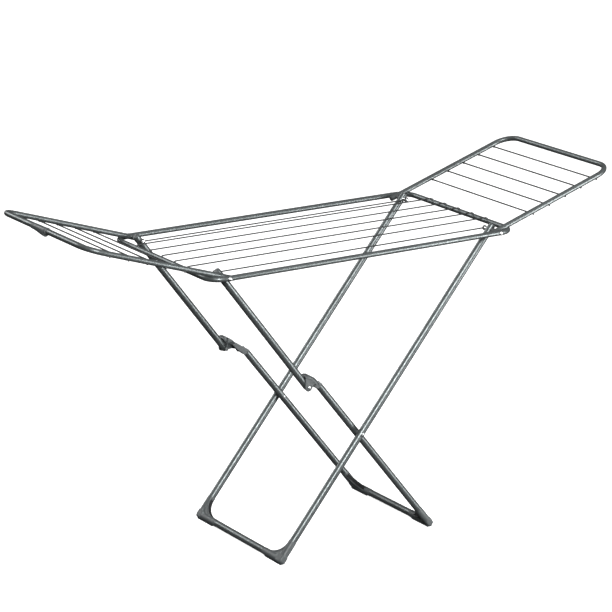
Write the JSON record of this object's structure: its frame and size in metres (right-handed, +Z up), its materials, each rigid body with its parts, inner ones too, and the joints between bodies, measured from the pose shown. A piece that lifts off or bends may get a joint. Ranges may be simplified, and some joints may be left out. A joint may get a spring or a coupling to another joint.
{
  "type": "folding winged clothes drying rack",
  "caption": "Free-standing folding clothes drying rack: a wired rectangular frame with two hinged wings on crossed, knee-jointed tube legs with moulded feet.",
  "frame": {"origin": "On the floor under the middle of the rack", "axes": "+X along the rack towards the right wing, +Y across the rack towards its back, +Z up"},
  "size_m": [1.8092, 0.5726, 1.0504],
  "materials": {
    "coated_tube": "mid grey powder coat, satin",
    "coated_wire": "darker grey plastic-coated wire, satin",
    "moulded_plastic": "dark grey moulded plastic, fine texture",
    "rivet_steel": "bright zinc-plated steel"
  },
  "bodies": {
    "frame": {"main_frame_tube": "coated_tube", "rail_wire_1": "coated_wire", "rail_wire_2": "coated_wire", "rail_wire_3": "coated_wire", "rail_wire_4": "coated_wire", "rail_wire_5": "coated_wire", "side_wire_front": "coated_wire", "side_wire_back": "coated_wire", "pivot_pin_left_front": "rivet_steel", "pivot_pin_left_back": "rivet_steel", "pivot_pin_right_front": "rivet_steel", "pivot_pin_right_back": "rivet_steel", "pivot_washer_left_front": "moulded_plastic", "pivot_washer_left_back": "moulded_plastic", "pivot_washer_right_front": "moulded_plastic", "pivot_washer_right_back": "moulded_plastic"},
    "wing_left": {"wing_left_tube": "coated_tube", "wing_left_wire_1": "coated_wire", "wing_left_wire_2": "coated_wire", "wing_left_wire_3": "coated_wire", "wing_left_wire_4": "coated_wire", "wing_left_wire_5": "coated_wire", "wing_left_sleeve": "moulded_plastic", "wing_left_plug_front": "moulded_plastic", "wing_left_plug_back": "moulded_plastic"},
    "wing_right": {"wing_right_tube": "coated_tube", "wing_right_wire_1": "coated_wire", "wing_right_wire_2": "coated_wire", "wing_right_wire_3": "coated_wire", "wing_right_wire_4": "coated_wire", "wing_right_wire_5": "coated_wire", "wing_right_plug_front": "moulded_plastic", "wing_right_plug_back": "moulded_plastic"},
    "outer_leg": {"outer_leg_tube": "coated_tube", "outer_leg_foot_front": "moulded_plastic", "outer_leg_foot_back": "moulded_plastic", "outer_leg_plug_front": "moulded_plastic", "outer_leg_plug_back": "moulded_plastic", "outer_leg_spacer_front": "moulded_plastic", "outer_leg_spacer_back": "moulded_plastic"},
    "inner_leg": {"inner_leg_tube": "coated_tube", "inner_leg_foot_front": "moulded_plastic", "inner_leg_foot_back": "moulded_plastic", "knee_connector_front": "moulded_plastic", "knee_connector_back": "moulded_plastic", "knee_rivet_front": "rivet_steel", "knee_rivet_back": "rivet_steel", "cross_pin_front": "rivet_steel", "cross_pin_back": "rivet_steel", "cross_spacer_front": "moulded_plastic", "cross_spacer_back": "moulded_plastic"},
    "upper_legs": {"upper_leg_tube_front": "coated_tube", "upper_leg_tube_back": "coated_tube", "upper_leg_plug_front": "moulded_plastic", "upper_leg_plug_back": "moulded_plastic", "upper_leg_spacer_front": "moulded_plastic", "upper_leg_spacer_back": "moulded_plastic"}
  },
  "joints": [
    {"name": "outer_leg_fold", "type": "hinge", "parent": "frame", "child": "outer_leg", "pos_m": [0.466, 0, 0.902], "axis": [0, 1, 0], "range_deg": [0, 42.5]},
    {"name": "inner_leg_fold", "type": "hinge", "parent": "outer_leg", "child": "inner_leg", "pos_m": [0.01378, 0, 0.349], "axis": [0, 1, 0], "range_deg": [0, 73.8]},
    {"name": "upper_legs_fold", "type": "hinge", "parent": "frame", "child": "upper_legs", "pos_m": [-0.466, 0, 0.902], "axis": [0, 1, 0], "range_deg": [-50.8, 0]},
    {"name": "wing_right_fold", "type": "hinge", "parent": "frame", "child": "wing_right", "pos_m": [0.466, 0, 0.902], "axis": [0, 1, 0], "range_deg": [-157, 0]},
    {"name": "wing_left_fold", "type": "hinge", "parent": "frame", "child": "wing_left", "pos_m": [-0.466, 0, 0.902], "axis": [0, 1, 0], "range_deg": [0, 157]}
  ],
  "couplings": [
    {"joint": "inner_leg_fold", "follows": "outer_leg_fold", "ratio": 1.7349},
    {"joint": "upper_legs_fold", "follows": "outer_leg_fold", "ratio": -1.1951}
  ]
}
